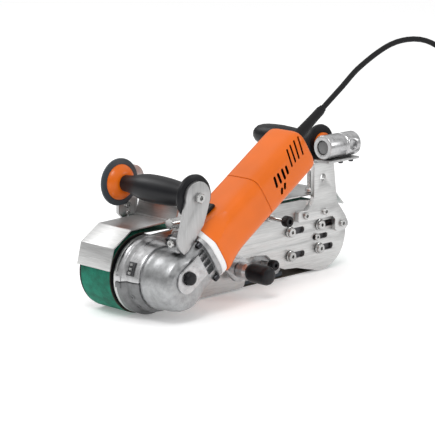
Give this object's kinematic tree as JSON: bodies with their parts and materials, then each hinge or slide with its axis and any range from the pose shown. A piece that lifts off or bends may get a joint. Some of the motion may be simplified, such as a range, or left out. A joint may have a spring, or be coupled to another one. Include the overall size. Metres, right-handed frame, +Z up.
{
  "type": "handheld belt grinder",
  "caption": "Handheld belt grinder: angle-grinder motor and gear head drive an abrasive belt round two rollers beside a slotted side plate, with front and rear handles.",
  "frame": {"origin": "middle of the footprint of the tool, on the surface it stands on, without the mains lead", "axes": "+X from the drive wheel towards the tension roller, -Y the motor side, +Z up"},
  "size_m": [0.684, 0.2503, 0.2914],
  "materials": {
    "stainless": "fine brushed grain",
    "cast": "sand cast, lightly polished",
    "steel": "turned",
    "dark_steel": "blackened",
    "orange": "satin moulded",
    "black": "fine moulded grain",
    "rubber": "matte",
    "abrasive": "coated abrasive cloth",
    "graphite": "smooth",
    "silver": "machined",
    "copper": "varnished winding"
  },
  "bodies": {
    "frame": {"near_side_plate": "stainless", "hub_clamp_upper": "cast", "hub_clamp_lower": "cast", "gear_head": "cast", "gear_head_cover": "silver", "head_screw_1": "dark_steel", "head_screw_2": "dark_steel", "head_screw_3": "dark_steel", "head_screw_4": "dark_steel", "gear_collar": "silver", "motor_housing_front": "orange", "motor_housing_rear": "orange", "field_core": "dark_steel", "platen_block": "cast", "platen_pad": "graphite", "belt_cover_plate": "stainless", "front_guard": "stainless", "rear_guard": "stainless", "near_handle_bracket": "stainless", "bracket_lug": "cast", "bracket_bolt": "steel", "far_handle_bracket": "stainless", "handle_bridge": "stainless", "front_grip": "black", "front_cone": "orange", "front_end_flange": "graphite", "handle_bolt": "steel", "rear_upright": "stainless", "clamp_strip": "stainless", "rear_clamp": "steel", "abrasive_belt": "abrasive", "cord_boot": "rubber", "mains_cord": "rubber", "cord_coil": "rubber", "mains_plug": "black", "lever_pivot": "steel"},
    "drive": {"output_spindle": "steel", "crown_gear": "dark_steel", "drive_wheel": "cast", "drive_wheel_tyre": "rubber"},
    "rotor": {"armature": "copper", "cooling_fan": "black", "pinion_gear": "steel"},
    "carriage": {"tension_carriage": "stainless", "idler_axle": "steel", "carriage_screw_1": "steel", "carriage_screw_2": "steel", "carriage_screw_3": "steel", "carriage_screw_4": "steel", "tracking_screw": "steel"},
    "idler": {"idler_roller": "cast"},
    "lever": {"tension_lever": "cast", "lever_grip": "black"},
    "lock_button": {"spindle_lock_button": "black"},
    "switch": {"slide_switch": "black"},
    "rear_handle": {"rear_handle_ring": "orange", "rear_grip": "black", "clamp_rod": "dark_steel"},
    "upper_knob": {"upper_lock_knob": "black"},
    "lower_knob": {"lower_lock_knob": "black"}
  },
  "joints": [
    {"name": "drive_spin", "type": "hinge", "parent": "frame", "child": "drive", "pos_m": [-0.14875, 0.0125, 0.047], "axis": [0, 1, 0], "continuous": true},
    {"name": "rotor_spin", "type": "hinge", "parent": "frame", "child": "rotor", "pos_m": [-0.14875, -0.0655, 0.047], "axis": [0.8368, 0, 0.5476], "continuous": true},
    {"name": "carriage_slide", "type": "slide", "parent": "frame", "child": "carriage", "axis": [1, 0, 0], "range_m": [-0.003, 0.008], "deforming": ["abrasive_belt"]},
    {"name": "idler_spin", "type": "hinge", "parent": "carriage", "child": "idler", "pos_m": [0.15025, 0.0125, 0.044], "axis": [0, 1, 0], "continuous": true},
    {"name": "lever_turn", "type": "hinge", "parent": "frame", "child": "lever", "pos_m": [-0.04275, -0.0305, 0.058], "axis": [0, 1, 0], "range_deg": [-40.5, 15.5]},
    {"name": "lock_button_press", "type": "slide", "parent": "frame", "child": "lock_button", "axis": [0, 1, 0], "range_m": [0, 0.003], "stiffness_N_per_m": 900, "springref_m": -0.002},
    {"name": "switch_slide", "type": "slide", "parent": "frame", "child": "switch", "axis": [0.8368, 0, 0.5476], "range_m": [0, 0.005]},
    {"name": "rear_handle_swing", "type": "hinge", "parent": "frame", "child": "rear_handle", "pos_m": [0.15125, -0.0325, 0.1595], "axis": [1, 0, 0], "range_deg": [-8, 60]},
    {"name": "upper_knob_turn", "type": "hinge", "parent": "frame", "child": "upper_knob", "pos_m": [0.05425, -0.0215, 0.0825], "axis": [0, 1, 0], "range_deg": [-180, 180]},
    {"name": "lower_knob_turn", "type": "hinge", "parent": "frame", "child": "lower_knob", "pos_m": [0.04725, -0.0175, 0.027], "axis": [0, 1, 0], "range_deg": [-180, 180]}
  ],
  "couplings": [
    {"joint": "rotor_spin", "follows": "drive_spin", "ratio": -3},
    {"joint": "idler_spin", "follows": "drive_spin", "ratio": 1.0694},
    {"joint": "lever_turn", "follows": "carriage_slide", "rad_per_m": -87.2}
  ]
}
